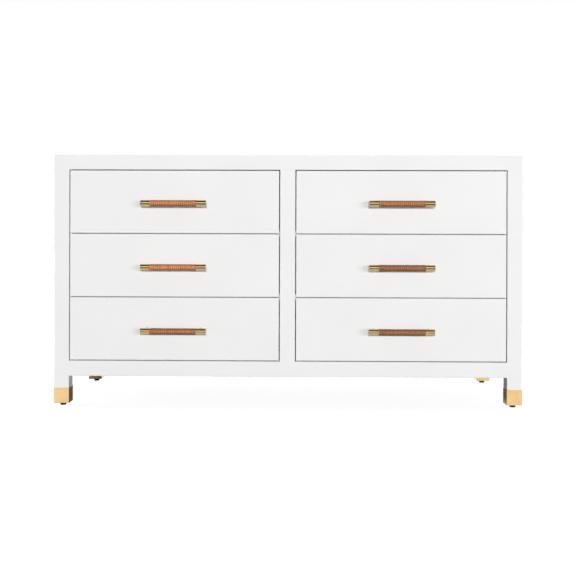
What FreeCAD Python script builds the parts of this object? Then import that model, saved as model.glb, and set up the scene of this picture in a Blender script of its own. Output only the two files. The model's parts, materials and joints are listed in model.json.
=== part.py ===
"""A campaign chest: six flush drawers on telescopic ball-bearing slides, in a frame on brass-shod legs.

Millimetres. +X is to the right as one faces the drawers, +Y is to the back and +Z is up. The origin is
on the floor, under the middle of the chest as its outline stands, with the pulls.
"""
import FreeCAD, Part
import math
import os
from collections import namedtuple

V = FreeCAD.Vector

# ---- the chest as a whole ----
CASE_WIDTH = 1524.0
CASE_DEPTH = 508.0
CASE_HEIGHT = 820.0            # floor to the top surface
ROWS = ("bottom", "middle", "top")
COLUMNS = ("left", "right")
ARRIS = 1.2                    # width of the small bevel that eases the case's edges

# ---- frame and panels ----
POST_SIDE = 48.0               # square corner posts, which run down as the legs
STILE_WIDTH = 50.0             # upright between the two columns of drawers
TOP_THICKNESS = 22.0
TOP_RAIL_THICKNESS = 25.4
TOP_RAIL_DEPTH = 60.0
LEG_CLEARANCE = 98.0           # floor to the underside of the case
BOTTOM_RAIL_HEIGHT = 50.0
SIDE_THICKNESS = 18.0
PARTITION_THICKNESS = 18.0
BOTTOM_PANEL_THICKNESS = 12.0
BOTTOM_PANEL_DROP = 20.0       # the bottom panel's top, below the top of its rails
HOUSING_DEPTH = 6.0            # how far the bottom panel enters its grooves
NOTCH_CLEARANCE = 0.5          # round each post, where the bottom panel is notched
BACK_PANEL_THICKNESS = 6.0
BACK_PANEL_RECESS = 2.0        # the back panel's face, inside the back of the posts
BACK_REBATE = 10.0             # how far the back panel laps each rear post
DIVIDER_THICKNESS = 19.0
DIVIDER_DEPTH = 60.0
CLEAT_HEIGHT = 60.0            # packing pieces that carry the drawer slides

# ---- joinery ----
TENON_LENGTH = 22.0
TENON_THICKNESS = 8.0
TENON_SHOULDER = 8.0           # from a tenon to the edge of its rail
STUB_LENGTH = 12.0             # the centre stiles' shorter tenons
TONGUE_LENGTH = 8.0            # side panels into posts
TONGUE_THICKNESS = 6.0

# ---- feet ----
FERRULE_HEIGHT = 50.0
FERRULE_WALL = 0.8
LEVELLER_DROP = 9.3            # floor to the end of a leg and its ferrule
LEVELLER_ACROSS_FLATS = 17.0   # its hexagonal pad takes a spanner
LEVELLER_GAP = 0.3             # pad to leg
STEM_DIAMETER = 8.0
STEM_LENGTH = 38.0             # above the end of the leg
STEM_END_ROOM = 6.0            # left above the stem in the leg
STEM_FIT = 0.1                 # radial, stem in the leg

# ---- drawers ----
REVEAL = 3.0                   # gap round each drawer front
DRAWER_FRONT_THICKNESS = 20.0
DRAWER_FRONT_ARRIS = 0.8
ROOM_BEHIND_FRONT = 2.0        # drawer front to the dividers and slides behind it
ROOM_ABOVE_BOX = 12.0          # drawer box to the divider over it
ROOM_BELOW_BOX = 5.0
BOX_FRONT_THICKNESS = 16.0
BOX_SIDE_THICKNESS = 14.0
BOX_BACK_THICKNESS = 14.0
BOX_BOTTOM_THICKNESS = 6.0
BOX_BOTTOM_RISE = 10.0         # lower edge of the sides to the bottom's underside
BOX_GROOVE_DEPTH = 6.0         # for the bottom, and in the sides for the back
BOX_BACK_INSET = 12.0          # the back, forward of the ends of the sides
TAIL_COUNT = 4
TAIL_SHARE = 0.66              # a tail's width at its root, as a share of the pitch
TAIL_SLOPE = 1 / 7

# ---- drawer slides ----
SLIDE_STEP = 50.0              # stock slide lengths are multiples of this
SLIDE_END_ROOM = 8.0           # slides to back panel, at the least
SLIDE_HEIGHT = 45.0
SLIDE_WIDTH = 12.7             # from the case to the drawer box
SLIDE_STEEL = 1.2
BALL_DIAMETER = 4.0
BALL_CLEARANCE = 0.05
WEB_GAP = 0.6                  # outer member's web to the middle member's web
CAGE_LENGTH = 96.0
CAGE_SIDE = 2.5                # square section of a ball cage
CAGE_INSET = 10.0              # cage to the end of the middle member

# ---- pulls ----
PULL_LENGTH = 212.0
PULL_DIAMETER = 21.5
PULL_END = 31.0                # bare brass beyond the grip, each end
PULL_STANDOFF = 26.0           # drawer front to the bar's axis
PULL_DROP = 6.0                # the bar's axis below the middle of the front
GRIP_PROUD = 0.15              # the wound grip beyond the brass, radially
PULL_POST_INSET = 17.0         # post axis from the bar's end
PULL_POST_REDUCTION = 0.5      # a post's diameter below the bar's

# ---- places worked out from the sizes above ----
PULL_REACH = PULL_STANDOFF + PULL_DIAMETER / 2 + GRIP_PROUD
OUTLINE_DEPTH = PULL_REACH + CASE_DEPTH + FERRULE_WALL
FRONT = PULL_REACH - OUTLINE_DEPTH / 2
BACK = FRONT + CASE_DEPTH
HALF_WIDTH = CASE_WIDTH / 2
POST_INNER = HALF_WIDTH - POST_SIDE
FRAME_THICKNESS = DRAWER_FRONT_THICKNESS + ROOM_BEHIND_FRONT
FRAME_IN = FRONT + FRAME_THICKNESS
FRAME_BACK = BACK - BACK_PANEL_RECESS - BACK_PANEL_THICKNESS
REAR_FRAME_IN = FRAME_BACK - FRAME_THICKNESS
TOP_UNDERSIDE = CASE_HEIGHT - TOP_THICKNESS
OPENING_TOP = TOP_UNDERSIDE - TOP_RAIL_THICKNESS
OPENING_BOTTOM = LEG_CLEARANCE + BOTTOM_RAIL_HEIGHT
BOTTOM_PANEL_TOP = OPENING_BOTTOM - BOTTOM_PANEL_DROP
ROW_PITCH = (OPENING_TOP - OPENING_BOTTOM - REVEAL) / len(ROWS)
SLIDE_LENGTH = SLIDE_STEP * math.floor((FRAME_BACK - FRAME_IN - SLIDE_END_ROOM) / SLIDE_STEP)
BOX_BACK = FRAME_IN + SLIDE_LENGTH

Bay = namedtuple("Bay", "name opening x z")   # opening: the column's width; x and z: the drawer front's


# ---- helpers ----
def block(x, y, z):
    """A box between the low and high values given along each axis."""
    return Part.makeBox(x[1] - x[0], y[1] - y[0], z[1] - z[0], V(x[0], y[0], z[0]))


def around(middle, width):
    return (middle - width / 2, middle + width / 2)


def inset(span, amount):
    return (span[0] + amount, span[1] - amount)


def mirrored(shape):
    """The same piece for the other side of the chest."""
    return shape.mirror(V(0, 0, 0), V(1, 0, 0))


def ease(shape, width, *lines):
    """Bevel each straight edge that lies on two planes, such as {"y": 3.0, "z": 5.0}."""
    def lies_on(edge, line):
        return all(abs(getattr(corner.Point, axis) - value) < 1e-6
                   for corner in edge.Vertexes for axis, value in line.items())
    return shape.makeChamfer(width, [e for e in shape.Edges if any(lies_on(e, line) for line in lines)])


def prism(points, along):
    return Part.Face(Part.makePolygon(points + points[:1])).extrude(along)


def corner_waste(x, y, into_x, into_y, z):
    """What is planed off an upright corner at x, y; into_x and into_y point into the wood."""
    return prism([V(x, y, z[0]), V(x + into_x * ARRIS, y, z[0]), V(x, y + into_y * ARRIS, z[0])],
                 V(0, 0, z[1] - z[0]))


def bays():
    """The six drawer places, by row and column."""
    found = []
    for row_index, row in enumerate(ROWS):
        low = OPENING_BOTTOM + REVEAL + row_index * ROW_PITCH
        for column, opening in zip(COLUMNS, ((-POST_INNER, -STILE_WIDTH / 2), (STILE_WIDTH / 2, POST_INNER))):
            height = (low, low + ROW_PITCH - REVEAL)
            found.append(Bay(f"{row}_{column}", opening, inset(opening, REVEAL), height))
    return found


# ---- the case ----
def top_panel():
    top = block((-HALF_WIDTH, HALF_WIDTH), (FRONT, BACK), (TOP_UNDERSIDE, CASE_HEIGHT))
    lines = [{"x": x, "y": y} for x in (-HALF_WIDTH, HALF_WIDTH) for y in (FRONT, BACK)]
    lines += [{"x": x, "z": CASE_HEIGHT} for x in (-HALF_WIDTH, HALF_WIDTH)]
    lines += [{"y": y, "z": CASE_HEIGHT} for y in (FRONT, BACK)]
    return ease(top, ARRIS, *lines)


def bottom_panel():
    """Housed in the rails and side panels, and notched round the posts."""
    reach_x = HALF_WIDTH - SIDE_THICKNESS + HOUSING_DEPTH
    span_y = (FRAME_IN - HOUSING_DEPTH, REAR_FRAME_IN + HOUSING_DEPTH)
    span_z = (BOTTOM_PANEL_TOP - BOTTOM_PANEL_THICKNESS, BOTTOM_PANEL_TOP)
    panel = block((-reach_x, reach_x), span_y, span_z)
    notch_x = POST_INNER - NOTCH_CLEARANCE
    notch_y = POST_SIDE + NOTCH_CLEARANCE
    notches = [block(x, y, span_z)
               for x in ((-HALF_WIDTH, -notch_x), (notch_x, HALF_WIDTH))
               for y in ((FRONT, FRONT + notch_y), (BACK - notch_y, BACK))]
    return panel.cut(notches)


def back_panel():
    reach = POST_INNER + BACK_REBATE
    y = (FRAME_BACK, FRAME_BACK + BACK_PANEL_THICKNESS)
    return block((-reach, reach), y, (LEG_CLEARANCE, TOP_UNDERSIDE))


def centre_stiles():
    """The upright seen between the columns and its twin at the back, stub-tenoned into the rails."""
    def stile(y):
        body = block(around(0, STILE_WIDTH), y, (OPENING_BOTTOM, OPENING_TOP))
        if y[0] == FRONT:
            body = ease(body, ARRIS, *[{"x": x, "y": FRONT} for x in around(0, STILE_WIDTH)])
        stub = block(inset(around(0, STILE_WIDTH), TENON_SHOULDER), around(sum(y) / 2, TENON_THICKNESS),
                     (OPENING_BOTTOM - STUB_LENGTH, OPENING_TOP + STUB_LENGTH))
        return body.fuse(stub).removeSplitter()
    return [stile((FRONT, FRAME_IN)), stile((REAR_FRAME_IN, FRAME_BACK))]


def rails(stiles, bottom):
    """Top and bottom rails with their tenons, mortised for the stiles and grooved for the bottom panel."""
    def rail(y, z, tenon_y, tenon_z, eased):
        body = ease(block((-POST_INNER, POST_INNER), y, z), ARRIS, *eased) if eased else \
            block((-POST_INNER, POST_INNER), y, z)
        reach = POST_INNER + TENON_LENGTH
        return body.fuse(block((-reach, reach), tenon_y, tenon_z)).removeSplitter().cut(stiles + [bottom])
    low = (LEG_CLEARANCE, OPENING_BOTTOM)
    high = (OPENING_TOP, TOP_UNDERSIDE)
    low_tenon = inset(low, TENON_SHOULDER)
    high_tenon = around(sum(high) / 2, TENON_THICKNESS)
    beside_front_post = inset((FRONT, FRONT + POST_SIDE), TENON_SHOULDER)
    beside_rear_post = inset((BACK - POST_SIDE, FRAME_BACK), TENON_SHOULDER)
    return {
        "bottom_rail_front": rail((FRONT, FRAME_IN), low, around((FRONT + FRAME_IN) / 2, TENON_THICKNESS),
                                  low_tenon, [{"y": FRONT, "z": z} for z in low]),
        "bottom_rail_rear": rail((REAR_FRAME_IN, FRAME_BACK), low,
                                 around((REAR_FRAME_IN + FRAME_BACK) / 2, TENON_THICKNESS), low_tenon, []),
        "top_rail_front": rail((FRONT, FRONT + TOP_RAIL_DEPTH), high, beside_front_post, high_tenon,
                               [{"y": FRONT, "z": OPENING_TOP}]),
        "top_rail_rear": rail((FRAME_BACK - TOP_RAIL_DEPTH, FRAME_BACK), high, beside_rear_post,
                              high_tenon, []),
    }


def side_panel(bottom):
    """The left side, flush with the posts and tongued into them."""
    x = (-HALF_WIDTH, -HALF_WIDTH + SIDE_THICKNESS)
    y = (FRONT + POST_SIDE, BACK - POST_SIDE)
    z = (LEG_CLEARANCE, TOP_UNDERSIDE)
    body = ease(block(x, y, z), ARRIS, {"x": -HALF_WIDTH, "z": LEG_CLEARANCE})
    tongue = block(around(sum(x) / 2, TONGUE_THICKNESS), inset(y, -TONGUE_LENGTH), z)
    return body.fuse(tongue).removeSplitter().cut(bottom)


def leg_centres():
    """The axes of the four legs, left then right, front then rear."""
    return [(side * (HALF_WIDTH - POST_SIDE / 2), y)
            for y in (FRONT + POST_SIDE / 2, BACK - POST_SIDE / 2) for side in (-1, 1)]


def left_post(y, outside_y, entering):
    """A left-hand post and leg. entering holds the tenoned and tongued pieces that it is cut for."""
    post = block((-HALF_WIDTH, -POST_INNER), y, (LEVELLER_DROP, TOP_UNDERSIDE))
    waste = list(entering)
    for corner_x, into_x in ((-HALF_WIDTH, 1), (-POST_INNER, -1)):
        for corner_y, into_y in ((y[0], 1), (y[1], -1)):
            outside = corner_x == -HALF_WIDTH and corner_y == outside_y
            eased_to = TOP_UNDERSIDE if outside else LEG_CLEARANCE
            waste.append(corner_waste(corner_x, corner_y, into_x, into_y, (LEVELLER_DROP, eased_to)))
    if outside_y == FRONT:
        waste.append(corner_waste(-POST_INNER, FRONT, -1, 1, (OPENING_BOTTOM, OPENING_TOP)))
    waste.append(stem_hole(-HALF_WIDTH + POST_SIDE / 2, sum(y) / 2))
    return post.cut(waste)


def centre_partition(top_rails):
    """The upright panel between the columns, notched round the top rails."""
    z = (BOTTOM_PANEL_TOP, TOP_UNDERSIDE)
    return block(around(0, PARTITION_THICKNESS), (FRAME_IN, REAR_FRAME_IN), z).cut(top_rails)


def drawer_dividers():
    """Rails between the rows, set back so that the drawer fronts meet in front of them."""
    y = (FRAME_IN, FRAME_IN + DIVIDER_DEPTH)
    left = [block((-POST_INNER, -PARTITION_THICKNESS / 2), y,
                  around(OPENING_BOTTOM + REVEAL / 2 + row * ROW_PITCH, DIVIDER_THICKNESS))
            for row in range(1, len(ROWS))]
    return left + [mirrored(divider) for divider in left]


def slide_cleats():
    """Packing pieces that bring the slides flush with the sides of the openings."""
    between_posts = (FRONT + POST_SIDE, BACK - POST_SIDE)
    left = []
    for bay in bays()[::len(COLUMNS)]:
        z = around(sum(bay.z) / 2, CLEAT_HEIGHT)
        left.append(block((-HALF_WIDTH + SIDE_THICKNESS, -POST_INNER), between_posts, z))
        left.append(block((-STILE_WIDTH / 2, -PARTITION_THICKNESS / 2), (FRAME_IN, REAR_FRAME_IN), z))
    return left + [mirrored(cleat) for cleat in left]


# ---- feet ----
def stem_hole(x, y):
    depth = STEM_LENGTH + STEM_END_ROOM
    return Part.makeCylinder(STEM_DIAMETER / 2 + STEM_FIT, depth, V(x, y, LEVELLER_DROP))


def ferrule(x, y):
    """The brass sleeve round the end of a leg."""
    z = (LEVELLER_DROP, LEVELLER_DROP + FERRULE_HEIGHT)
    outside = POST_SIDE + 2 * FERRULE_WALL
    leg = block(around(x, POST_SIDE), around(y, POST_SIDE), z)
    return block(around(x, outside), around(y, outside), z).cut(leg)


def leveller(x, y):
    """A screw foot: a hexagonal pad on a stem."""
    corner = LEVELLER_ACROSS_FLATS / math.sqrt(3)
    outline = [V(x + corner * math.cos(turn), y + corner * math.sin(turn), 0)
               for turn in (math.radians(60 * index) for index in range(6))]
    pad = prism(outline, V(0, 0, LEVELLER_DROP - LEVELLER_GAP))
    stem = Part.makeCylinder(STEM_DIAMETER / 2, LEVELLER_DROP + STEM_LENGTH, V(x, y, 0))
    return pad.fuse(stem).removeSplitter()


# ---- drawer slides ----
def bent_sheet(upper_half):
    """A sheet-steel member. The points run along the middle of the sheet, from the middle of the web up."""
    lower_half = [V(point.x, 0, -point.z) for point in reversed(upper_half)]
    path = Part.makePolygon(lower_half + upper_half)
    skins = [path.makeOffset2D(side * SLIDE_STEEL / 2, join=2, openResult=True) for side in (1, -1)]
    corners = [[vertex.Point for vertex in skin.OrderedVertexes] for skin in skins]
    if corners[0][-1].distanceToPoint(corners[1][0]) > SLIDE_STEEL * 1.01:
        corners[1].reverse()
    return prism(corners[0] + corners[1], V(0, SLIDE_LENGTH, 0))


def slide_members():
    """The outer, middle and inner members of one slide, the middle one with its ball cages.

    The case is at x = 0. Two rows of balls run in each half: the outer member folds over the outer row,
    the middle member passes under the outer row and folds over the inner one, and the inner member
    passes under the inner row. Every flat that bears on a ball is a race's distance from its centre.
    """
    race = BALL_DIAMETER / 2 + BALL_CLEARANCE + SLIDE_STEEL / 2
    lean = race * math.sqrt(0.5)             # the rows lie at 45 degrees to each other
    fold = race * math.tan(math.pi / 8)      # from where a flat bears on a ball to its 45 degree bend
    outer_x, outer_z = SLIDE_STEEL / 2 + race, SLIDE_HEIGHT / 2 - SLIDE_STEEL / 2 - race
    inner_x, inner_z = outer_x + 2 * lean, outer_z - 2 * lean
    middle_web = 1.5 * SLIDE_STEEL + WEB_GAP
    inner_web = SLIDE_WIDTH - SLIDE_STEEL / 2

    outer = [V(outer_x - race, 0, outer_z + race), V(outer_x + race, 0, outer_z + race),
             V(outer_x + race, 0, outer_z)]
    middle = [V(middle_web, 0, outer_z - race), V(outer_x + fold, 0, outer_z - race),
              V(inner_x - fold, 0, inner_z + race), V(inner_x + race, 0, inner_z + race),
              V(inner_x + race, 0, inner_z)]
    inner = [V(inner_web, 0, inner_z - race), V(inner_x - fold, 0, inner_z - race),
             V(inner_x - race, 0, inner_z - fold)]

    rear = (SLIDE_LENGTH - CAGE_INSET - CAGE_LENGTH, SLIDE_LENGTH - CAGE_INSET)
    front = (CAGE_INSET, CAGE_INSET + CAGE_LENGTH)
    cages = [block(around(x, CAGE_SIDE), y, around(side * z, CAGE_SIDE))
             for x, y, z in ((outer_x, rear, outer_z), (inner_x, front, inner_z)) for side in (1, -1)]
    return [bent_sheet(outer)], [bent_sheet(middle)] + cages, [bent_sheet(inner)]


def slide_pair(bay, pieces):
    """Pieces of a slide, set at both sides of a bay."""
    z = sum(bay.z) / 2
    left = [piece.translated(V(bay.opening[0], FRAME_IN, z)) for piece in pieces]
    right = [mirrored(piece).translated(V(bay.opening[1], FRAME_IN, z)) for piece in pieces]
    return left + right


# ---- drawers ----
def drawer_front(bay):
    slab = block(bay.x, (FRONT, FRONT + DRAWER_FRONT_THICKNESS), bay.z)
    edges = [{"x": x, "y": FRONT} for x in bay.x] + [{"y": FRONT, "z": z} for z in bay.z]
    return ease(slab, DRAWER_FRONT_ARRIS, *edges)


def dovetails(x, z, shoulder, end):
    """Tails on the end of a drawer side, from its shoulder to its end along Y."""
    pitch = (z[1] - z[0]) / TAIL_COUNT
    root = pitch * TAIL_SHARE / 2
    tip = root + abs(end - shoulder) * TAIL_SLOPE
    middles = [z[0] + pitch * (index + 0.5) for index in range(TAIL_COUNT)]
    return [prism([V(x[0], shoulder, middle - root), V(x[0], end, middle - tip), V(x[0], end, middle + tip),
                   V(x[0], shoulder, middle + root)], V(x[1] - x[0], 0, 0)) for middle in middles]


def drawer_box(bay):
    """Sides dovetailed to the front, a back housed between them, and a bottom slid in under the back."""
    x = inset(bay.opening, SLIDE_WIDTH)
    lap = (DIVIDER_THICKNESS - REVEAL) / 2   # how far a divider reaches behind the drawer front
    z = (bay.z[0] + lap + ROOM_BELOW_BOX, bay.z[1] - lap - ROOM_ABOVE_BOX)
    y = (FRONT + DRAWER_FRONT_THICKNESS, BOX_BACK)
    shoulder = y[0] + BOX_FRONT_THICKNESS
    bottom_z = (z[0] + BOX_BOTTOM_RISE, z[0] + BOX_BOTTOM_RISE + BOX_BOTTOM_THICKNESS)
    housed_x = inset(x, BOX_SIDE_THICKNESS - BOX_GROOVE_DEPTH)
    bottom = block(housed_x, (shoulder - BOX_GROOVE_DEPTH, y[1]), bottom_z)
    back_y = (y[1] - BOX_BACK_INSET - BOX_BACK_THICKNESS, y[1] - BOX_BACK_INSET)
    back = block(housed_x, back_y, (bottom_z[1], z[1]))

    def side(side_x):
        board = block(side_x, (shoulder, y[1]), z)
        return board.fuse(dovetails(side_x, z, shoulder, y[0])).removeSplitter().cut([bottom, back])

    sides = [side((x[0], x[0] + BOX_SIDE_THICKNESS)), side((x[1] - BOX_SIDE_THICKNESS, x[1]))]
    front = block(x, (y[0], shoulder), z).cut(sides + [bottom])
    return sides + [front, back, bottom]


def pull_feet(bay):
    """Where the pull's two posts stand on the drawer front."""
    middle = sum(bay.x) / 2
    reach = PULL_LENGTH / 2 - PULL_POST_INSET
    return [V(middle + side * reach, FRONT, sum(bay.z) / 2 - PULL_DROP) for side in (-1, 1)]


def pull(bay):
    """The brass of a pull: two round bar ends, each cast in one with the round post that carries it."""
    posts = []
    for side, foot in zip((-1, 1), pull_feet(bay)):
        end = foot + V(side * PULL_POST_INSET, -PULL_STANDOFF, 0)
        bar = Part.makeCylinder(PULL_DIAMETER / 2, PULL_END, end, V(-side, 0, 0))
        post = Part.makeCylinder((PULL_DIAMETER - PULL_POST_REDUCTION) / 2, PULL_STANDOFF, foot, V(0, -1, 0))
        posts.append(bar.fuse(post).removeSplitter())
    return posts


def pull_grip(bay):
    """The wound grip between the brass ends."""
    start = pull_feet(bay)[0] + V(PULL_END - PULL_POST_INSET, -PULL_STANDOFF, 0)
    return Part.makeCylinder(PULL_DIAMETER / 2 + GRIP_PROUD, PULL_LENGTH - 2 * PULL_END, start, V(1, 0, 0))


# ---- the whole chest ----
def case_nodes():
    stiles, bottom, side = centre_stiles(), bottom_panel(), side_panel(bottom_panel())
    frame = rails(stiles, bottom)
    entering = list(frame.values()) + [side, back_panel()]
    rebate = block((-POST_INNER - BACK_REBATE, -POST_INNER), (FRAME_BACK, BACK),
                   (LEG_CLEARANCE, TOP_UNDERSIDE))
    front_post = left_post((FRONT, FRONT + POST_SIDE), FRONT, entering)
    rear_post = left_post((BACK - POST_SIDE, BACK), BACK, entering + [rebate])
    nodes = {name: [rail] for name, rail in frame.items()}
    nodes.update({
        "top_panel": [top_panel()],
        "bottom_panel": [bottom],
        "back_panel": [back_panel()],
        "side_panel_left": [side],
        "side_panel_right": [mirrored(side)],
        "post_front_left": [front_post],
        "post_front_right": [mirrored(front_post)],
        "post_rear_left": [rear_post],
        "post_rear_right": [mirrored(rear_post)],
        "centre_stile_front": [stiles[0]],
        "centre_stile_rear": [stiles[1]],
        "centre_partition": [centre_partition([frame["top_rail_front"], frame["top_rail_rear"]])],
        "drawer_dividers": drawer_dividers(),
        "slide_cleats": slide_cleats(),
        "ferrules": [ferrule(*centre) for centre in leg_centres()],
    })
    places = ("front_left", "front_right", "rear_left", "rear_right")
    nodes.update({f"leveller_{place}": [leveller(*centre)] for place, centre in zip(places, leg_centres())})
    return nodes


def drawer_nodes():
    outer, middle, inner = slide_members()
    nodes = {"slide_outer_members": [piece for bay in bays() for piece in slide_pair(bay, outer)]}
    for bay in bays():
        nodes[f"drawer_front_{bay.name}"] = [drawer_front(bay)]
        nodes[f"drawer_box_{bay.name}"] = drawer_box(bay)
        nodes[f"pull_{bay.name}"] = pull(bay)
        nodes[f"pull_grip_{bay.name}"] = [pull_grip(bay)]
        nodes[f"slide_inner_{bay.name}"] = slide_pair(bay, inner)
        nodes[f"slide_middle_{bay.name}"] = slide_pair(bay, middle)
    return nodes


os.makedirs("parts", exist_ok=True)
for node, solids in {**case_nodes(), **drawer_nodes()}.items():
    shape = solids[0] if len(solids) == 1 else Part.makeCompound(solids)
    shape.exportStep(f"parts/{node}.step")
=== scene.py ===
"""The looks of the campaign chest: materials, turned brass, wound grips, small screws, slide balls, studio
and camera.

Metres, in the frame of the CAD: +X is to the right as one faces the drawers, +Y to the back and +Z up.
"""
import json
import math
import random

import bmesh
import bpy
from mathutils import Matrix, Vector


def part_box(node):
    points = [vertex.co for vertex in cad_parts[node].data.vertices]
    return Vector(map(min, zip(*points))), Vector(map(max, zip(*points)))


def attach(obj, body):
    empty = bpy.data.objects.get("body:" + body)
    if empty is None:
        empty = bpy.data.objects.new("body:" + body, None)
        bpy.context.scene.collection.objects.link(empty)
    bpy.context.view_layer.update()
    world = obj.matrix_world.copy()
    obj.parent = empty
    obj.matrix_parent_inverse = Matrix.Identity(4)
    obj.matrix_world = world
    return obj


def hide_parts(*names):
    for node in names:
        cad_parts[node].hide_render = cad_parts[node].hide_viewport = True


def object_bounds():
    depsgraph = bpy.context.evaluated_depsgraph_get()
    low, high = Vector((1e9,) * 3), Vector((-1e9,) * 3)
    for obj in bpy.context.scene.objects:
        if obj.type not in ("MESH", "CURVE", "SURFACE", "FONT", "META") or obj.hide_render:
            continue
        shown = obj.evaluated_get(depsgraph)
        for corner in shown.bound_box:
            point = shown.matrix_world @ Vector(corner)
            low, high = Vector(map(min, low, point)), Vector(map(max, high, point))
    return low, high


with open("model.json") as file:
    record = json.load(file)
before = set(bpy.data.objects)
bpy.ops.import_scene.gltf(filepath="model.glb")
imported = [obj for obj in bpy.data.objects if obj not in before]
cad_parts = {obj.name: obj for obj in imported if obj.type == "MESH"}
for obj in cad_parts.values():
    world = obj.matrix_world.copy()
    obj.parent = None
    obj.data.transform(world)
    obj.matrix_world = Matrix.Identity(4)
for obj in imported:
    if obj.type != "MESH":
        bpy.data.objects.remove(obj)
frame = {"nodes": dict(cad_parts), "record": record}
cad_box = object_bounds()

MM = 0.001
BAYS = [f"{row}_{column}" for row in ("bottom", "middle", "top") for column in ("left", "right")]
CORNERS = [f"{end}_{side}" for end in ("front", "rear") for side in ("left", "right")]
OPENINGS = {opening["name"]: opening["box_m"] for opening in frame["record"]["physics"]["openings"]}
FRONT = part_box("drawer_front_top_left")[0].y          # the plane of the drawer fronts

# ---- sizes: drawer boxes and their dovetails ----
BOX_FRONT = 16 * MM                  # thickness
BOX_SIDE = 14 * MM
SIDE_MARGIN = 0.5 * MM               # within which a face still belongs to a box's side
TAILS = 4                            # in each corner
TAIL_SHARE = 0.66                    # a tail's width at its root, as a share of the pitch
TAIL_SLOPE = 1 / 7
JOINT_LINE = (0.1 * MM, 0.3 * MM)    # off a joint, where its line starts to fade and where it ends

# ---- sizes: pulls ----
BAR_EDGE = 1.0 * MM                  # radius round a bar's outer edge
EDGE_STEPS = 4
POST_INSET = 17.0 * MM               # a post's axis, from the end of the bar
POST_SLIMMER = 0.25 * MM             # how much less a post's radius is than the bar's
AXIS_POINT = 0.001 * MM              # a turned end's innermost radius: a face can't close on a point
TURNED_SEGMENTS = 96
LACE_WIDTH = 6.2 * MM
LACE_THICKNESS = 2.6 * MM
LACE_FULLNESS = 0.8                  # the power that swells a round section, 1, towards a square one, 0
LACE_DRIFT = 0.25 * MM               # how far turns stray along the bar, from one side to the other
LACE_SINK = 0.22 * MM                # how far the tightest turns are drawn in
LACE_STEPS = 14                      # round its section
TURN_STEPS = 40                      # in a turn round the bar
SPARE_TURNS = 2                      # wound beyond both ends together, and then cut off
CORE_DEPTH = 0.62                    # the core's surface below the lace's crown, as a share of its thickness
CORE_SEGMENTS = 64
PAINTED_HIGHLIGHT_AT = 0.12                     # painted highlight: the lace's palest line, above the grip's axis, in the grip's radii, with painted shade growing above and below it
STREAKS = (30.0, 9.0)                # scales of the lace's streaks, along it and round it
SEED = 7                             # of the turns' drift and sink
# How bright each pull's lace is.
LACE_TONES = {"top_left": 0.92, "middle_left": 1.0, "bottom_left": 0.66,
              "top_right": 0.76, "middle_right": 0.56, "bottom_right": 0.555}

# ---- sizes: screws and slides ----
PULL_SCREW = (9 * MM, 3 * MM)        # diameter and height of a head
SMALL_SCREW = (7.5 * MM, 2.2 * MM)
BACK_SCREW = (7 * MM, 1.6 * MM)
HEAD_SEGMENTS = 28
BRIM = 0.15                          # height of its widest place, in the head's heights
BRIM_UNDER = 0.97                    # radius of its underside, in the head's radii
DOME = (0.35, 0.6, 0.8, 0.95)        # heights of its rounded part, in the head's heights
DOME_HEIGHT = 0.75                   # of the ellipse that the rounded part follows from the first of them
RECESS = (0.62, 0.17)                # half length and half width of a cross, in the head's radii
RECESS_SPAN = (0.4, 1.9)             # bottom of a cross, and top of what cuts it, in the head's heights
FRONT_SCREW_INSET = 60 * MM          # drawer front's screws, from the sides of the box inside
FRONT_SCREW_RISE = 45 * MM           # above and below the middle
SLIDE_STEEL = 1.2 * MM
SLIDE_SCREWS = (35 * MM, 225 * MM, 415 * MM)
BACK_SCREW_SIDE_INSET = 5 * MM
BACK_SCREW_END_INSET = 14 * MM
BALL_RADIUS = 2.0 * MM
BALLS = 9                            # in each row of a cage
CAGE_LENGTH = 96 * MM
CAGE_STARTS = (10 * MM, 344 * MM)    # inner cage's and outer one's, from the front of the middle member
MIDDLE_WEB = 1.8 * MM                # the middle member's web, from the side of the bay
OUTER_ROW = (3.25 * MM, 19.25 * MM)  # a row of balls, from the side of the bay and from the slide's middle
INNER_ROW = (7.0 * MM, 15.5 * MM)

# ---- sizes: edges ----
FRONT_ROUND = 0.5 * MM
METAL_ROUND = 0.3 * MM
PAD_ROUND = 0.8 * MM
ROUND_FROM = math.radians(30)        # the angle between faces from which an edge is rounded
SHARP_FROM = math.radians(28)        # the one from which an edge of a new piece is shaded as sharp


def pull_sizes(bay):
    """The bar ends, the axis and the posts of a pull, from its CAD nodes. x lists the ends of the bar and,
    between them, those of the grip, from left to right."""
    low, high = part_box(f"pull_{bay}")
    grip_low, grip_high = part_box(f"pull_grip_{bay}")
    radius = (high.z - low.z) / 2
    return {
        "x": (low.x, grip_low.x, grip_high.x, high.x),
        "axis": Vector((0, low.y + radius, (low.z + high.z) / 2)),
        "radius": radius,
        "grip_radius": (grip_high.z - grip_low.z) / 2,
        "post_radius": radius - POST_SLIMMER,
        "post_x": (low.x + POST_INSET, high.x - POST_INSET),
    }


# ---- shader helpers ----
# For each kind of value, the places of a Mix node's two inputs and of its output.
MIX_SOCKETS = {"FLOAT": (2, 3, 0), "VECTOR": (4, 5, 1), "RGBA": (6, 7, 2)}


def tint(red, green, blue):
    """A colour as it shows on a screen, 0 to 255, as the linear colour a shader takes."""
    def linear(value):
        value /= 255
        return value / 12.92 if value <= 0.04045 else ((value + 0.055) / 1.055) ** 2.4
    return (linear(red), linear(green), linear(blue), 1.0)


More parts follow.
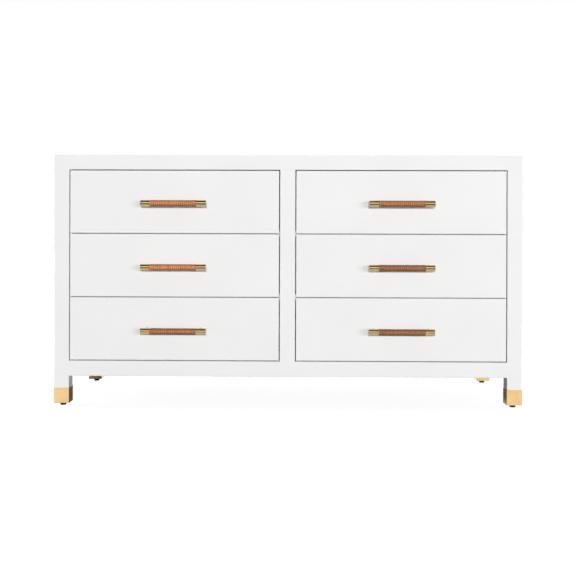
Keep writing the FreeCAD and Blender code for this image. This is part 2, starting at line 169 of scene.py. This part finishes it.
class Look:
    """A material, or a world, with its one shader and short names for the nodes that feed it."""

    def __init__(self, name, owner=None, surface="Principled BSDF"):
        self.material = owner or bpy.data.materials.new(name)
        self.material.use_nodes = True
        self.tree = self.material.node_tree
        self.surface = self.tree.nodes[surface]

    def put(self, socket, value):
        """Links a socket to another, or gives it a constant."""
        if isinstance(value, bpy.types.NodeSocket):
            self.tree.links.new(value, socket)
        else:
            socket.default_value = value

    def add(self, kind, inputs=(), **settings):
        node = self.tree.nodes.new(kind)
        for key, value in settings.items():
            setattr(node, key, value)
        for key, value in dict(inputs).items():
            self.put(node.inputs[key], value)
        return node

    def set(self, **values):
        """Sets the shader's own sockets."""
        for key, value in values.items():
            self.put(self.surface.inputs[key.replace("_", " ")], value)
        return self

    @property
    def place(self):
        """Where a point lies in the CAD's frame, in metres."""
        return self.add("ShaderNodeTexCoord").outputs["Object"]

    def parts(self, vector):
        return self.add("ShaderNodeSeparateXYZ", {0: vector}).outputs

    def join(self, x=0.0, y=0.0, z=0.0):
        return self.add("ShaderNodeCombineXYZ", {0: x, 1: y, 2: z}).outputs[0]

    def math(self, operation, first, second=0.0, third=0.0):
        return self.add("ShaderNodeMath", {0: first, 1: second, 2: third}, operation=operation).outputs[0]

    def vector(self, operation, first, second=(0, 0, 0)):
        return self.add("ShaderNodeVectorMath", {0: first, 1: second}, operation=operation).outputs[0]

    def dot(self, first, second):
        return self.add("ShaderNodeVectorMath", {0: first, 1: second}, operation="DOT_PRODUCT").outputs[1]

    def mix(self, share, first, second, kind="RGBA"):
        """first where share is 0, second where it is 1: two colours, vectors or numbers."""
        socket, other_socket, output = MIX_SOCKETS[kind]
        inputs = {0: share, socket: first, other_socket: second}
        return self.add("ShaderNodeMix", inputs, data_type=kind).outputs[output]

    def noise(self, scale, stretch=None, detail=2.0, rough=0.5, place=None):
        place = place or self.place
        place = self.vector("MULTIPLY", place, stretch) if stretch is not None else place
        inputs = {"Vector": place, "Scale": scale, "Detail": detail, "Roughness": rough}
        return self.add("ShaderNodeTexNoise", inputs).outputs[0]

    def spread(self, value, low, high, start=0.3, end=0.7):
        """value, taken from start..end to low..high. Noise mostly lies within 0.3 to 0.7."""
        inputs = {"Value": value, "From Min": start, "From Max": end, "To Min": low, "To Max": high}
        return self.add("ShaderNodeMapRange", inputs).outputs[0]

    def bump(self, height, depth, previous=None):
        """Raises the surface by up to depth, in metres."""
        inputs = {"Height": height, "Distance": depth, "Strength": 1.0}
        if previous is not None:
            inputs["Normal"] = previous
        return self.add("ShaderNodeBump", inputs).outputs[0]


# ---- materials: wood ----
ALONG_X = (1, 9, 9)                  # scales of a board's figure along X, Y and Z, drawn out along its grain
ALONG_Y = (9, 1, 9)
ON_END = (9, 9, 9)
SIDE_SHIFT = 3.7                     # moves the figure, along X, in the sides of a box
HALF_SHIFT = 1.3                     # moves it along Z, one way right of the chest's middle, the other left
RINGS = 75.0                         # how closely the rings follow one another
END_GRAIN_FROM = 0.7                 # how squarely a face looks along the grain, at which it is end grain
MAPLE = tint(230, 204, 166), tint(204, 168, 124)
BIRCH = tint(228, 204, 166), tint(206, 176, 134)
PORES = tint(150, 112, 74)
JOINT = tint(96, 66, 40)


def dovetailed(look, box):
    """Where a drawer box's grain runs along Y, which is in its sides but not where the pins of its front
    come through them, and where the joints between pins and tails show."""
    low, high = box
    x, y, z = look.parts(look.place)
    pitch = (high.z - low.z) / TAILS
    from_middle = look.math("ABSOLUTE", look.math("SUBTRACT", x, (low.x + high.x) / 2))
    in_side = look.math("GREATER_THAN", from_middle, (high.x - low.x) / 2 - BOX_SIDE - SIDE_MARGIN)
    ahead = look.math("SUBTRACT", low.y + BOX_FRONT, y)
    half_tail = look.math("MULTIPLY_ADD", ahead, TAIL_SLOPE, pitch * TAIL_SHARE / 2)
    turns = look.math("FRACT", look.math("DIVIDE", look.math("SUBTRACT", z, low.z), pitch))
    off_tail = look.math("MULTIPLY", look.math("ABSOLUTE", look.math("SUBTRACT", turns, 0.5)), pitch)
    beyond = look.math("SUBTRACT", off_tail, half_tail)
    in_joint = look.math("MULTIPLY", in_side, look.math("GREATER_THAN", ahead, 0.0))
    is_pin = look.math("MULTIPLY", in_joint, look.math("GREATER_THAN", beyond, 0.0))
    hairline = look.spread(look.math("ABSOLUTE", beyond), 1.0, 0.0, *JOINT_LINE)
    return look.math("SUBTRACT", in_side, is_pin), look.math("MULTIPLY", in_joint, hairline)


def figure(look, along_y):
    """Where a point lies in its board's figure, which is drawn out along the grain, and whether it is on end
    grain. The grain runs along Y where along_y is 1, and otherwise along X."""
    normal = look.add("ShaderNodeTexCoord").outputs["Normal"]
    facing = look.dot(normal, look.mix(along_y, (1, 0, 0), (0, 1, 0), "VECTOR"))
    is_end = look.math("GREATER_THAN", look.math("ABSOLUTE", facing), END_GRAIN_FROM)
    stretch = look.mix(is_end, look.mix(along_y, ALONG_X, ALONG_Y, "VECTOR"), ON_END, "VECTOR")
    half = look.math("SIGN", look.parts(look.place)[0])
    shift = look.join(x=look.math("MULTIPLY", along_y, SIDE_SHIFT),
                      z=look.math("MULTIPLY", half, HALF_SHIFT))
    return look.vector("MULTIPLY", look.vector("ADD", look.place, shift), stretch), is_end


def board(name, pale, dark, box=None):
    """Planed wood with its grain along X, or, in a drawer box, along each of its boards."""
    look = Look(name)
    along_y, joint = dovetailed(look, box) if box else (0.0, 0.0)
    grain, is_end = figure(look, along_y)
    rings = look.math("SINE", look.math("MULTIPLY", look.noise(1.4, place=grain), RINGS))
    fibre = look.noise(90.0, detail=3.0, place=grain)
    pores = look.spread(look.noise(260.0, detail=1.0, place=grain), 0.0, 0.35, 0.62, 0.74)
    shade = look.math("MULTIPLY_ADD", rings, 0.16, look.spread(fibre, 0.0, 0.75))
    shade = look.math("MULTIPLY_ADD", is_end, 0.55, shade)
    colour = look.mix(pores, look.mix(shade, pale, dark), PORES)
    return look.set(
        Base_Color=look.mix(look.math("MULTIPLY", joint, 0.7), colour, JOINT),
        Roughness=look.spread(fibre, 0.38, 0.52),
        Normal=look.bump(fibre, 0.00006),
    ).material


# ---- materials: lacquer, lace and nylon ----
def lacquer():
    """Satin white lacquer, sprayed: a faint orange peel, and a sheen that varies slowly."""
    look = Look("white_lacquer")
    cloud = look.noise(5.0, detail=3.0)
    spray = look.noise(260.0, detail=2.0)
    peel = look.noise(480.0, detail=1.0)
    return look.set(
        Base_Color=look.mix(look.spread(cloud, 0.0, 1.0), tint(241, 241, 241), tint(244, 244, 244)),
        Roughness=look.spread(spray, 0.40, 0.48),
        Specular_IOR_Level=0.2,
        Normal=look.bump(peel, 0.00003),
    ).material


def tanned(bay, red, green, blue):
    """A lace's colour in one bay, scaled by that bay's tone."""
    return (*(channel * LACE_TONES[bay] for channel in tint(red, green, blue)[:3]), 1.0)


def lace(bay):
    """Waxed leather lace with random paler worn patches, a painted highlight just above the grip's axis,
    painted shade towards its top and bottom and in the grooves between its turns. U runs along the lace in
    metres, and V round it, with its outer middle at 0.5."""
    look = Look(f"tan_lace_{bay}")
    along, around, _ = look.parts(look.add("ShaderNodeTexCoord").outputs["UV"])
    ribbon = look.join(look.math("MULTIPLY", along, STREAKS[0]), look.math("MULTIPLY", around, STREAKS[1]))
    streak = look.noise(1.0, detail=3.0, place=ribbon)
    worn = look.noise(75.0, detail=3.0)
    fibre = look.noise(900.0, detail=4.0)
    hide = look.add("ShaderNodeTexVoronoi", {"Vector": look.place, "Scale": 1400.0}).outputs["Distance"]
    size = pull_sizes(bay)
    above_axis = look.math("SUBTRACT", look.parts(look.place)[2], size["axis"].z)
    rise = look.math("DIVIDE", above_axis, size["grip_radius"])
    off_painted_highlight = look.math("ABSOLUTE", look.math("SUBTRACT", rise, PAINTED_HIGHLIGHT_AT))
    off_middle = look.math("ABSOLUTE", look.math("SUBTRACT", around, 0.5))
    colour = look.mix(look.spread(streak, 0.0, 1.0), tanned(bay, 184, 110, 64), tanned(bay, 250, 171, 113))
    colour = look.mix(look.spread(worn, 0.0, 0.45), colour, tanned(bay, 254, 191, 136))
    # painted highlight and shade: palest on a line just above the grip's axis, darker towards its top and
    # bottom
    colour = look.mix(look.spread(off_painted_highlight, 0.0, 0.7, 0.12, 0.8), colour, tanned(bay, 123, 68, 36))
    # painted shade: darker towards the edges of each turn, in the grooves between the turns
    colour = look.mix(look.spread(off_middle, 0.0, 0.9, 0.07, 0.22), colour, tanned(bay, 84, 46, 24))
    return look.set(
        Base_Color=colour,
        Roughness=look.spread(fibre, 0.34, 0.48),
        Normal=look.bump(fibre, 0.00005, look.bump(hide, 0.00006)),
    ).material


def black_nylon():
    """Moulded nylon, grained and a little scuffed."""
    look = Look("black_nylon")
    grain = look.noise(1100.0, detail=3.0)
    scuffs = look.noise(120.0, detail=4.0)
    return look.set(
        Base_Color=look.mix(look.spread(scuffs, 0.0, 1.0), tint(6, 7, 7), tint(14, 14, 15)),
        Roughness=look.spread(grain, 0.50, 0.65),
        Specular_IOR_Level=0.1,
        Normal=look.bump(grain, 0.00004),
    ).material


# ---- materials: metals ----
LINES_UP = (1800, 1800, 30)          # scales of the brushing along X, Y and Z: its lines follow the smallest
LINES_ROUND = (1800, 30, 30)


def brass(name, lines, dark, pale):
    """Satin brass, brushed, and slightly toned by age."""
    look = Look(name)
    brushed = look.noise(1.0, stretch=lines, detail=2.0, rough=0.6)
    aged = look.noise(30.0, detail=4.0)
    shade = look.math("ADD", look.spread(brushed, 0.0, 0.55), look.spread(aged, 0.0, 0.45))
    return look.set(
        Base_Color=look.mix(shade, dark, pale),
        Metallic=1.0,
        Roughness=look.math("ADD", look.spread(brushed, 0.11, 0.20), look.spread(aged, 0.0, 0.05)),
        Normal=look.bump(brushed, 0.000010),
    ).material


def plated_steel():
    """Cold-rolled steel strip with bright zinc plating."""
    look = Look("zinc_plated_steel")
    rolled = look.noise(1.0, stretch=(900, 14, 900), detail=3.0)
    cloud = look.noise(60.0, detail=4.0)
    return look.set(
        Base_Color=look.mix(look.spread(cloud, 0.0, 1.0), tint(176, 179, 184), tint(206, 208, 212)),
        Metallic=1.0,
        Roughness=look.spread(rolled, 0.26, 0.40),
        Normal=look.bump(rolled, 0.000008),
    ).material


def polished_steel():
    """Bearing balls, with a faint haze."""
    look = Look("polished_steel")
    haze = look.noise(300.0, detail=2.0)
    return look.set(
        Base_Color=look.mix(look.spread(haze, 0.0, 1.0), tint(196, 198, 202), tint(216, 218, 222)),
        Metallic=1.0,
        Roughness=look.spread(haze, 0.06, 0.12),
    ).material


# ---- CAD nodes ----
def finish_nodes(steel, laces):
    """Gives every CAD node its material."""
    finishes = {
        "lacquer": lacquer(),
        "carcass_wood": board("birch", *BIRCH),
        "brass": brass("ferrule_brass", LINES_UP, tint(223, 187, 129), tint(249, 214, 160)),
        "slide_steel": steel,
        "leveller": black_nylon(),
    }
    slots = {part["node"]: part["material_slot"] for part in frame["record"]["subparts"]}
    for name, node in frame["nodes"].items():
        if slots[name] == "drawer_wood":
            finish = board(f"maple_{name}", *MAPLE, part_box(name))
        elif slots[name] == "grip":
            finish = laces[name.removeprefix("pull_grip_")]
        else:
            finish = finishes[slots[name]]
        for material_slot in node.material_slots:
            material_slot.material = finish


def round_edges(node, width):
    """Softens the edges of a CAD node."""
    weld = node.modifiers.new("weld", "WELD")
    weld.merge_threshold = 0.01 * MM
    bevel = node.modifiers.new("round", "BEVEL")
    bevel.width = width
    bevel.segments = 2
    bevel.limit_method = "ANGLE"
    bevel.angle_limit = ROUND_FROM
    bevel.harden_normals = True


def soften_nodes():
    """Rounds the edges of the fronts, the metal and the pads, which catch the light."""
    widths = {"slide_outer_members": METAL_ROUND, "ferrules": METAL_ROUND}
    for bay in BAYS:
        widths[f"drawer_front_{bay}"] = FRONT_ROUND
        widths[f"slide_inner_{bay}"] = METAL_ROUND
        widths[f"slide_middle_{bay}"] = METAL_ROUND
    for corner in CORNERS:
        widths[f"leveller_{corner}"] = PAD_ROUND
    for name, width in widths.items():
        round_edges(frame["nodes"][name], width)


# ---- mesh helpers ----
def new_piece(name, mesh, material, body):
    """Adds a mesh to the scene as a piece that rides on a body."""
    mesh.materials.clear()
    mesh.materials.append(material)
    piece = bpy.data.objects.new(name, mesh)
    bpy.context.scene.collection.objects.link(piece)
    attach(piece, body)
    return piece


def finished(bm, name, smooth=True):
    """The mesh of a bmesh, which is freed."""
    mesh = bpy.data.meshes.new(name)
    for face in bm.faces:
        face.smooth = smooth
    bm.to_mesh(mesh)
    bm.free()
    return mesh


def skin(bm, rings):
    """Joins rings of points into a closed tube. Gives its side faces, in a row for each pair of rings."""
    rows = []
    for low, high in zip(rings, rings[1:]):
        corners = zip(low, low[1:] + low[:1], high[1:] + high[:1], high)
        rows.append([bm.faces.new(corner) for corner in corners])
    bm.faces.new(rings[0][::-1])
    bm.faces.new(rings[-1])
    return rows


def lathe(profile, segments, place):
    """A closed turned solid, moved by a matrix. profile lists (distance along Z, radius) from end to end."""
    bm = bmesh.new()
    rings = []
    for along, radius in profile:
        rings.append([bm.verts.new(place @ Vector((radius * math.cos(a), radius * math.sin(a), along)))
                      for a in (math.tau * index / segments for index in range(segments))])
    skin(bm, rings)
    bmesh.ops.recalc_face_normals(bm, faces=bm.faces)
    return bm


def placed(point, axis):
    """The matrix that takes the origin to point and Z to axis."""
    turn = Vector((0, 0, 1)).rotation_difference(Vector(axis))
    return Matrix.Translation(point) @ turn.to_matrix().to_4x4()


def rod(name, place, length, radius, segments, first_edge=()):
    """The mesh of a closed rod. first_edge is the profile of its first edge, where that isn't square."""
    profile = [(0, AXIS_POINT), *(first_edge or [(0, radius)]), (length, radius), (length, AXIS_POINT)]
    return finished(lathe(profile, segments, place), name)


def rounded_edge(radius, size):
    """Profile points round the edge of a turned end, from its face out to radius."""
    turns = [math.pi / 2 * step / EDGE_STEPS for step in range(EDGE_STEPS + 1)]
    return [(size * (1 - math.cos(turn)), radius - size * (1 - math.sin(turn))) for turn in turns]


def combined(meshes, name, operation="UNION"):
    """One mesh: the first of several closed ones with the others added to it or cut from it."""
    objects = [bpy.data.objects.new(name, mesh) for mesh in meshes]
    for part in objects:
        bpy.context.scene.collection.objects.link(part)
    base = objects[0]
    for part in objects[1:]:
        boolean = base.modifiers.new("boolean", "BOOLEAN")
        boolean.operation = operation
        boolean.solver = "EXACT"
        boolean.object = part
    made = bpy.data.meshes.new_from_object(base.evaluated_get(bpy.context.evaluated_depsgraph_get()))
    for part in objects:
        bpy.data.objects.remove(part)
    made.set_sharp_from_angle(angle=SHARP_FROM)
    return made


def copies(template, places, name):
    """One mesh of several copies of a template, each set by its matrix."""
    bm = bmesh.new()
    for place in places:
        first = len(bm.verts)
        bm.from_mesh(template)
        bm.verts.ensure_lookup_table()
        bmesh.ops.transform(bm, matrix=place, verts=bm.verts[first:])
    mesh = bpy.data.meshes.new(name)
    bm.to_mesh(mesh)
    bm.free()
    mesh.set_sharp_from_angle(angle=SHARP_FROM)
    return mesh


# ---- screws and balls ----
def pan_head(diameter, height):
    """A screw's pan head with a cross recess, its underside at the origin, facing +Z."""
    radius = diameter / 2
    axis_point = 0.01 * radius
    profile = [(0, axis_point), (0, radius * BRIM_UNDER), (height * BRIM, radius)]
    profile += [(height * share, radius * math.sqrt(1 - ((share - DOME[0]) / DOME_HEIGHT) ** 2))
                for share in DOME]
    profile.append((height, axis_point))
    head = finished(lathe(profile, HEAD_SEGMENTS, Matrix.Identity(4)), "head")
    low, high = (height * share for share in RECESS_SPAN)
    cutters = []
    for length, width in (RECESS, RECESS[::-1]):
        bm = bmesh.new()
        size = Matrix.Diagonal((radius * length, radius * width, (high - low) / 2, 1))
        bmesh.ops.create_cube(bm, size=2, matrix=Matrix.Translation((0, 0, (low + high) / 2)) @ size)
        cutters.append(finished(bm, "recess"))
    return combined([head, *cutters], "pan_head", "DIFFERENCE")


def screws(name, size, places, material, body):
    """The heads of several screws, as one piece."""
    new_piece(name, copies(pan_head(*size), places, name), material, body)


def drawer_screws(bay, material):
    """Heads inside the drawer's box, and on the slides' inner members at its sides."""
    pull = pull_sizes(bay)
    box_low, box_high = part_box(f"drawer_box_{bay}")
    slide_low, slide_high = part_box(f"slide_inner_{bay}")
    (inside_left, inside_front, _), (inside_right, _, _) = OPENINGS[f"drawer_{bay}_inside"]
    middle_z = (slide_low.z + slide_high.z) / 2
    inwards = (0, 1, 0)
    places = [placed((x, inside_front, pull["axis"].z), inwards) for x in pull["post_x"]]
    screws(f"pull_screws_{bay}", PULL_SCREW, places, material, f"drawer_{bay}")
    places = [placed((x, inside_front, middle_z + rise), inwards)
              for x in (inside_left + FRONT_SCREW_INSET, inside_right - FRONT_SCREW_INSET)
              for rise in (-FRONT_SCREW_RISE, FRONT_SCREW_RISE)]
    places += [placed((x, slide_low.y + along, middle_z), (outwards, 0, 0))
               for x, outwards in ((box_low.x - SLIDE_STEEL, -1), (box_high.x + SLIDE_STEEL, 1))
               for along in SLIDE_SCREWS]
    screws(f"drawer_screws_{bay}", SMALL_SCREW, places, material, f"drawer_{bay}")


def back_screws(material):
    """Heads round the edge of the back panel and up its middle, within its recess."""
    low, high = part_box("back_panel")
    left, right = low.x + BACK_SCREW_SIDE_INSET, high.x - BACK_SCREW_SIDE_INSET
    bottom, top = low.z + BACK_SCREW_END_INSET, high.z - BACK_SCREW_END_INSET
    quarters = [step / 4 for step in range(5)]
    spots = [(x, bottom + (top - bottom) * share) for x in (left, 0.0, right) for share in quarters]
    spots += [(side * right * share, z)
              for side in (-1, 1) for share in quarters[1:4] for z in (bottom, top)]
    places = [placed((x, high.y, z), (0, 1, 0)) for x, z in spots]
    screws("back_screws", BACK_SCREW, places, material, "case")


def slide_balls(bay, material):
    """Balls in the cages of both middle slide members of a bay."""
    low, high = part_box(f"slide_middle_{bay}")
    middle_z = (low.z + high.z) / 2
    inner_start, outer_start = CAGE_STARTS
    places = []
    for bay_side, inwards in ((low.x - MIDDLE_WEB, 1), (high.x + MIDDLE_WEB, -1)):
        for (from_side, rise), start in ((OUTER_ROW, outer_start), (INNER_ROW, inner_start)):
            x = bay_side + inwards * from_side
            for step in range(BALLS):
                y = low.y + start + CAGE_LENGTH * (step + 0.5) / BALLS
                places += [Matrix.Translation((x, y, middle_z + z)) for z in (-rise, rise)]
    ball = bmesh.new()
    bmesh.ops.create_icosphere(ball, subdivisions=2, radius=BALL_RADIUS)
    name = f"balls_{bay}"
    new_piece(name, copies(finished(ball, "ball"), places, name), material, f"slide_{bay}")


# ---- pulls ----
def brass_ends(bay, material):
    """Both ends of the bar, each with the post that carries it."""
    size = pull_sizes(bay)
    outer_left, inner_left, inner_right, outer_right = size["x"]
    post_left, post_right = size["post_x"]
    reach = FRONT - size["axis"].y
    for side, inwards, outer, inner, post_x in (("left", 1, outer_left, inner_left, post_left),
                                                ("right", -1, outer_right, inner_right, post_right)):
        name = f"pull_brass_{bay}_{side}"
        bar_place = placed(Vector((outer, 0, 0)) + size["axis"], (inwards, 0, 0))
        bar = rod(name, bar_place, abs(inner - outer), size["radius"], TURNED_SEGMENTS,
                  rounded_edge(size["radius"], BAR_EDGE))
        post_place = placed(Vector((post_x, FRONT, size["axis"].z)), (0, -1, 0))
        post = rod(name, post_place, reach, size["post_radius"], TURNED_SEGMENTS)
        piece = new_piece(name, combined([bar, post], name), material, f"drawer_{bay}")
        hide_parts(f"pull_{bay}")


def at_turn(values, turn):
    """What a row of values, one for each whole turn, comes to at a turn and its part."""
    whole = int(turn)
    part = turn - whole
    return values[whole] * (1 - part) + values[whole + 1] * part


def lace_section(width):
    """Points round the lace's section, as (along the bar, below the lace's crown)."""
    points = []
    for step in range(LACE_STEPS):
        angle = math.tau * step / LACE_STEPS
        across, up = (math.copysign(abs(share) ** LACE_FULLNESS, share)
                      for share in (math.cos(angle), math.sin(angle)))
        points.append((across * width * 0.5, (1 - up) * LACE_THICKNESS / 2))
    return points


def lace_rings(bm, size, rng):
    """Rings of points along a lace that is wound round a grip, from before its start to beyond its end."""
    _, start, end, _ = size["x"]
    turns = round((end - start) / LACE_WIDTH)
    pitch = (end - start) / turns
    total = turns + SPARE_TURNS
    whole_turns = range(total + 2)       # from 0 to total, and the one that follows the last
    drift = [rng.uniform(-0.5, 0.5) for _ in whole_turns]
    sink = [rng.uniform(0.0, 1.0) for _ in whole_turns]
    section = lace_section(pitch)
    rings = []
    for step in range(total * TURN_STEPS + 1):
        turn = step / TURN_STEPS
        angle = math.tau * turn
        middle = start + pitch * (turn - SPARE_TURNS / 2) + LACE_DRIFT * at_turn(drift, turn)
        crown = size["grip_radius"] - LACE_SINK * at_turn(sink, turn)
        rings.append([bm.verts.new((middle + along,
                                    size["axis"].y + (crown - depth) * math.cos(angle),
                                    size["axis"].z + (crown - depth) * math.sin(angle)))
                      for along, depth in section])
    return rings


def unwrap_lace(rows, uv, turn_length):
    """Lays U along the lace, in metres, and V round it, with its outer middle at 0.5."""
    for index, row in enumerate(rows):
        begin, end = (ring / TURN_STEPS * turn_length for ring in (index, index + 1))
        for step, face in enumerate(row):
            low = (step / LACE_STEPS + 0.25) % 1.0
            high = low + 1 / LACE_STEPS
            corners = (begin, low), (begin, high), (end, high), (end, low)
            for loop, corner in zip(face.loops, corners):
                loop[uv].uv = corner


def cut_flush(bm, x, outwards):
    """Cuts a closed mesh off at x, on the side that outwards points to, and closes it there."""
    geometry = bm.verts[:] + bm.edges[:] + bm.faces[:]
    cut = bmesh.ops.bisect_plane(bm, geom=geometry, plane_co=(x, 0, 0), plane_no=(outwards, 0, 0),
                                 clear_outer=True)
    rim = [item for item in cut["geom_cut"] if isinstance(item, bmesh.types.BMEdge)]
    bmesh.ops.holes_fill(bm, edges=rim)


def wound_grip(bay, material, rng):
    """Lace wound round the core of a grip, turn against turn, cut off flush at both brass ends."""
    size = pull_sizes(bay)
    _, start, end, _ = size["x"]
    bm = bmesh.new()
    uv = bm.loops.layers.uv.new("lace")
    rows = skin(bm, lace_rings(bm, size, rng))
    unwrap_lace(rows, uv, math.tau * size["grip_radius"])
    bmesh.ops.recalc_face_normals(bm, faces=bm.faces)
    for x, outwards in ((start, -1), (end, 1)):
        cut_flush(bm, x, outwards)
    name = f"grip_lace_{bay}"
    piece = new_piece(name, finished(bm, name), material, f"drawer_{bay}")
    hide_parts(f"pull_grip_{bay}")


def grip_core(bay, material):
    """The core that the lace is wound on, which closes the grooves between the turns."""
    size = pull_sizes(bay)
    _, start, end, _ = size["x"]
    radius = size["grip_radius"] - LACE_THICKNESS * CORE_DEPTH
    name = f"grip_core_{bay}"
    place = placed(Vector((start, 0, 0)) + size["axis"], (1, 0, 0))
    mesh = rod(name, place, end - start, radius, CORE_SEGMENTS)
    new_piece(name, mesh, material, f"drawer_{bay}")


# ---- studio ----
PHOTO_SIDE = 575                     # pixels
FOCAL_LENGTH = 838                   # pixels
AXIS_ABOVE = 51.6                    # pixels, where the camera's axis meets the picture, above its middle
SENSOR = 36.0                        # Blender's unit for lens and sensor is a millimetre
EYE = Vector((0.033, -2.966, 0.5575))
ROLL = math.radians(0.177)
YAW = math.radians(0.70)             # to the left

LAMP_AIM = Vector((0, 0, 0.46))
LAMPS = {                            # place, width and height, and watts
    "front": ((0.2, -16.2, 3.05), (2.8, 1.0), 1595),
    "key": ((8.5, -12.0, 1.3), (8.0, 1.6), 570),
    "left": ((-10.0, 1.5, 3.2), (3.0, 2.0), 310),
    "right": ((10.0, 1.5, 3.2), (3.0, 2.0), 175),
}

# What the room casts on the chest, where 1 is white.
WALL_LIGHT = 0.12
BACK_LIGHT = 1.6
CEILING_LIGHT = 0.25
BACK_STARTS = (0.0, 0.3)             # how far a direction points backwards, where 1 is all the way
CEILING_STARTS = (0.56, 0.74)        # sine of the elevation

# What mirrors see of the room, whose other walls are white.
DARK_CEILING = 0.04
FRONT_WALL = 1.8                     # behind the camera
DIM_END = 0.06                       # the foot of that wall
DIM_END_STARTS = (0.55, 0.85)        # how far a direction points forwards
DIM_END_TOP = (0.10, 0.30)           # sine of the elevation

FLOOR_RADIUS = 30.0
FLOOR_SEGMENTS = 96
FLOOR_GREYS = (0.18, 0.22)
FLOOR_LIFT = 0.90                    # what makes the floor white to the camera and to mirrors
SWEEP_EDGE = (-1.3, -0.7)            # where the white sweep ends in mirrors, towards the camera
PAINTED_SHADOW_EDGE = (0.95, 1.05)           # a shadow painted under the object for mirrors: a soft-edged box, as a share of its half width and half depth
PAINTED_SHADOW_SHIFT = -0.05                 # the painted shadow's shift along X, away from the key lamp


def camera():
    """The photograph's view, which is rolled and turned by less than a degree."""
    data = bpy.data.cameras.new("camera")
    data.sensor_width = SENSOR
    data.lens = FOCAL_LENGTH / PHOTO_SIDE * SENSOR
    data.shift_y = -AXIS_ABOVE / PHOTO_SIDE
    eye = bpy.data.objects.new("camera", data)
    eye.location = EYE
    level = Matrix.Rotation(math.pi / 2, 3, "X")
    turn = Matrix.Rotation(YAW, 3, "Z") @ level @ Matrix.Rotation(ROLL, 3, "Z")
    eye.rotation_euler = turn.to_euler()
    bpy.context.scene.collection.objects.link(eye)
    bpy.context.scene.camera = eye


def lamp(name, place, size, power):
    """A large soft lamp aimed at the chest. Mirrors see the lit room instead of it."""
    data = bpy.data.lights.new(name, "AREA")
    data.shape = "RECTANGLE"
    data.size, data.size_y = size
    data.energy = power
    light = bpy.data.objects.new(name, data)
    light.location = place
    light.rotation_euler = (LAMP_AIM - Vector(place)).to_track_quat("-Z", "Y").to_euler()
    light.visible_camera = False
    light.visible_glossy = False
    bpy.context.scene.collection.objects.link(light)


def seeing_rays(look):
    """1 for the camera's rays, and 1 for those of mirrors and glass, which show the background too."""
    rays = look.add("ShaderNodeLightPath").outputs
    return rays["Is Camera Ray"], look.math("MAXIMUM", rays["Is Glossy Ray"], rays["Is Transmission Ray"])


def surroundings():
    """A room that is plain white to the camera. Mirrors see its dark ceiling too, and the dim foot of the
    wall behind the camera. The chest gets soft light from it, most of that from the back."""
    world = bpy.data.worlds.new("studio")
    bpy.context.scene.world = world
    look = Look("studio", world, "Background")
    y, z = look.parts(look.add("ShaderNodeTexCoord").outputs["Generated"])[1:3]
    up = look.spread(z, 0.0, 1.0, *CEILING_STARTS)
    forwards = look.spread(look.math("MULTIPLY", y, -1.0), 0.0, 1.0, *DIM_END_STARTS)
    front_wall = look.spread(z, DIM_END, FRONT_WALL, *DIM_END_TOP)
    walls = look.mix(forwards, 1.0, front_wall, "FLOAT")
    mirrored = look.mix(up, walls, DARK_CEILING, "FLOAT")
    behind = look.spread(y, 0.0, 1.0, *BACK_STARTS)
    cast = look.mix(behind, look.mix(up, WALL_LIGHT, CEILING_LIGHT, "FLOAT"), BACK_LIGHT, "FLOAT")
    camera_ray, mirror_ray = seeing_rays(look)
    strength = look.mix(camera_ray, look.mix(mirror_ray, cast, mirrored, "FLOAT"), 1.0, "FLOAT")
    look.set(Strength=strength, Color=(1, 1, 1, 1))


def white_floor():
    """A grey that keeps the chest's shadow, lifted to white for the camera. Mirrors see it white too, but
    for a shadow painted under the chest and for what lies beyond the end of the sweep."""
    look = Look("white_floor")
    speck = look.noise(40.0, detail=3.0)
    x, y, _ = look.parts(look.place)
    half_width, half_depth, _ = cad_box[1]
    # painted shadow: a soft-edged box under the chest, shifted away from the key lamp, where mirrors see the
    # floor unlifted and dark
    off_x = look.math("DIVIDE", look.math("ABSOLUTE", look.math("SUBTRACT", x, PAINTED_SHADOW_SHIFT)), half_width)
    off_y = look.math("DIVIDE", look.math("ABSOLUTE", y), half_depth)
    out_of_painted_shadow = look.spread(look.math("MAXIMUM", off_x, off_y), 0.0, 1.0, *PAINTED_SHADOW_EDGE)
    on_sweep = look.spread(y, 0.0, 1.0, *SWEEP_EDGE)
    camera_ray, mirror_ray = seeing_rays(look)
    mirrored = look.math("MULTIPLY", mirror_ray, look.math("MULTIPLY", out_of_painted_shadow, on_sweep))
    lifted = look.math("MAXIMUM", camera_ray, mirrored)
    dark, pale = ((grey, grey, grey, 1) for grey in FLOOR_GREYS)
    return look.set(
        Base_Color=look.mix(look.spread(speck, 0.0, 1.0), dark, pale),
        Roughness=0.8,
        Specular_IOR_Level=0.1,
        Emission_Color=(1, 1, 1, 1),
        Emission_Strength=look.math("MULTIPLY", lifted, FLOOR_LIFT),
    ).material


def floor():
    """The studio's floor, a disc too wide for its edge to show."""
    bm = bmesh.new()
    bmesh.ops.create_circle(bm, cap_ends=True, segments=FLOOR_SEGMENTS, radius=FLOOR_RADIUS)
    ground = bpy.data.objects.new("floor", finished(bm, "floor", smooth=False))
    ground.data.materials.append(white_floor())
    bpy.context.scene.collection.objects.link(ground)


def main():
    steel = plated_steel()
    balls = polished_steel()
    turned_brass = brass("turned_brass", LINES_ROUND, tint(180, 154, 106), tint(212, 188, 142))
    laces = {bay: lace(bay) for bay in BAYS}
    finish_nodes(steel, laces)
    soften_nodes()
    rng = random.Random(SEED)
    for bay in BAYS:
        brass_ends(bay, turned_brass)
        wound_grip(bay, laces[bay], rng)
        grip_core(bay, laces[bay])
        drawer_screws(bay, steel)
        slide_balls(bay, balls)
    back_screws(steel)
    floor()
    surroundings()
    for name, (place, size, power) in LAMPS.items():
        lamp(name, place, size, power)
    camera()
    bpy.context.scene.view_settings.view_transform = "Standard"


main()
